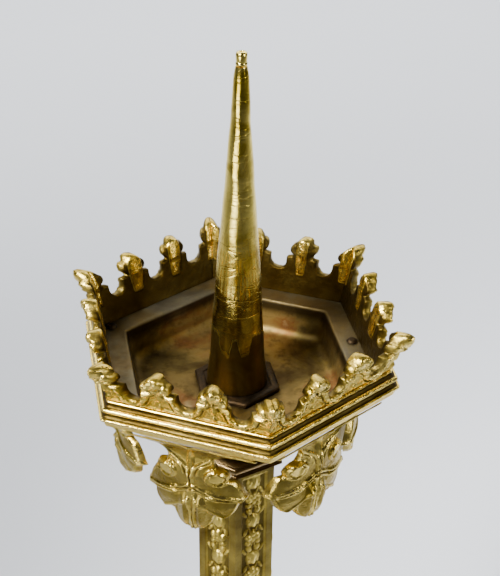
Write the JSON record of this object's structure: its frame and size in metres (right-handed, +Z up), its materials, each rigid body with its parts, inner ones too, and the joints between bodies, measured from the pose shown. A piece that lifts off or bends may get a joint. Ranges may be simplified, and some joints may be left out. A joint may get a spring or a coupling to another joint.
{
  "type": "altar pricket candlestick",
  "caption": "Hexagonal gilt brass altar candlestick with a turnable drip pan, a fleuron gallery, hanging vine leaves and a tall hollow pricket.",
  "frame": {"origin": "on the ground in the middle of the foot", "axes": "+Z up the tie rod to the pricket's point, -Y towards the arris of the stem that faces the viewer"},
  "size_m": [0.148, 0.1708, 0.4898],
  "materials": {
    "gilt_brass": "cast, gilt and burnished, dark in the hollows",
    "stem_brass": "cast, gilt, duller and browner",
    "pricket_brass": "turned and polished, lightly scratched",
    "pan_patina": "dull brown patina with wax stains",
    "dark_iron": "blackened"
  },
  "bodies": {
    "stick": {"base_plinth": "stem_brass", "foot_1": "gilt_brass", "foot_2": "gilt_brass", "foot_3": "gilt_brass", "foot_4": "gilt_brass", "foot_5": "gilt_brass", "foot_6": "gilt_brass", "closing_plate": "dark_iron", "tie_washer": "dark_iron", "tie_nut": "dark_iron", "tie_rod": "dark_iron", "base_dome": "stem_brass", "lower_collar": "gilt_brass", "lower_stem": "stem_brass", "knop_lower_ring": "gilt_brass", "knop": "gilt_brass", "knop_boss_1": "gilt_brass", "knop_boss_2": "gilt_brass", "knop_boss_3": "gilt_brass", "knop_boss_4": "gilt_brass", "knop_boss_5": "gilt_brass", "knop_boss_6": "gilt_brass", "knop_upper_ring": "gilt_brass", "upper_stem": "stem_brass", "abacus": "gilt_brass", "neck": "gilt_brass", "pricket": "pricket_brass", "pricket_bush": "dark_iron", "pricket_ferrule": "pricket_brass"},
    "head": {"rim_moulding": "gilt_brass", "drip_pan": "pan_patina", "pan_soffit": "gilt_brass", "pan_screw_1": "dark_iron", "pan_screw_2": "dark_iron", "pan_screw_3": "dark_iron", "gallery_panel_1": "gilt_brass", "gallery_panel_2": "gilt_brass", "gallery_panel_3": "gilt_brass", "gallery_panel_4": "gilt_brass", "gallery_panel_5": "gilt_brass", "gallery_panel_6": "gilt_brass", "leaf_1": "gilt_brass", "leaf_2": "gilt_brass", "leaf_3": "gilt_brass", "leaf_4": "gilt_brass", "leaf_5": "gilt_brass", "leaf_6": "gilt_brass", "leaf_rivet_1": "dark_iron", "leaf_rivet_2": "dark_iron", "leaf_rivet_3": "dark_iron", "leaf_rivet_4": "dark_iron", "leaf_rivet_5": "dark_iron", "leaf_rivet_6": "dark_iron", "seat_washer": "dark_iron"}
  },
  "joints": [
    {"name": "head_turn", "type": "hinge", "parent": "stick", "child": "head", "pos_m": [0, 0, 0.372], "axis": [0, 0, 1], "continuous": true}
  ]
}
